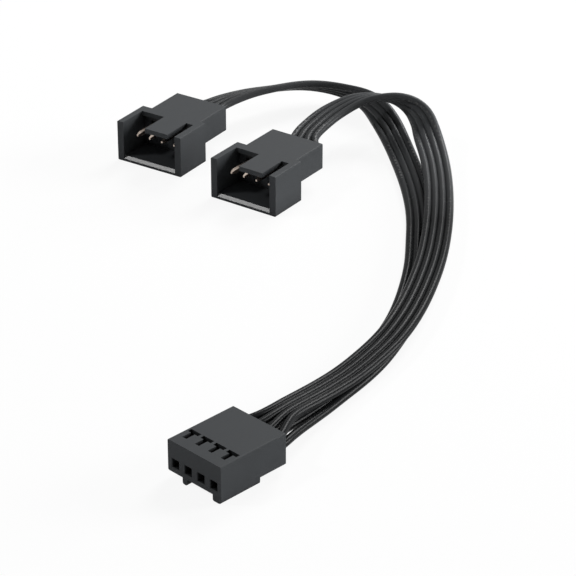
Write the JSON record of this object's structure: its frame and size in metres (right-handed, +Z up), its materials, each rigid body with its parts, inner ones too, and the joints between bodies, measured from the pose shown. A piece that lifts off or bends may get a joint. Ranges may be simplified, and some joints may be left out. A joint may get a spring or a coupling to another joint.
{
  "type": "fan splitter cable",
  "caption": "Flat-ribbon splitter cable: a keyed female socket joined by two bonded ribbons to two open male plugs, lying on a surface.",
  "frame": {"origin": "on the surface that the cable lies on, under the centre of the box around the three connectors", "axes": "+Z up from the surface, +Y from the socket's mating face towards its wires, +X to the right when looking along +Y"},
  "size_m": [0.0925, 0.1073, 0.0091],
  "materials": {
    "housing_plastic": "fine satin moulding, black",
    "contact_metal": "tin-plated, bright",
    "wire_sheath": "soft satin sheath, black"
  },
  "bodies": {
    "root": {"socket_housing": "housing_plastic", "plug_housing_left": "housing_plastic", "plug_housing_right": "housing_plastic", "socket_terminal_1": "contact_metal", "socket_terminal_2": "contact_metal", "socket_terminal_3": "contact_metal", "socket_terminal_4": "contact_metal", "plug_pin_left_1": "contact_metal", "plug_pin_left_2": "contact_metal", "plug_pin_left_3": "contact_metal", "plug_pin_left_4": "contact_metal", "plug_pin_right_1": "contact_metal", "plug_pin_right_2": "contact_metal", "plug_pin_right_3": "contact_metal", "plug_pin_right_4": "contact_metal", "ribbon_left": "wire_sheath", "ribbon_right": "wire_sheath"}
  },
  "joints": []
}
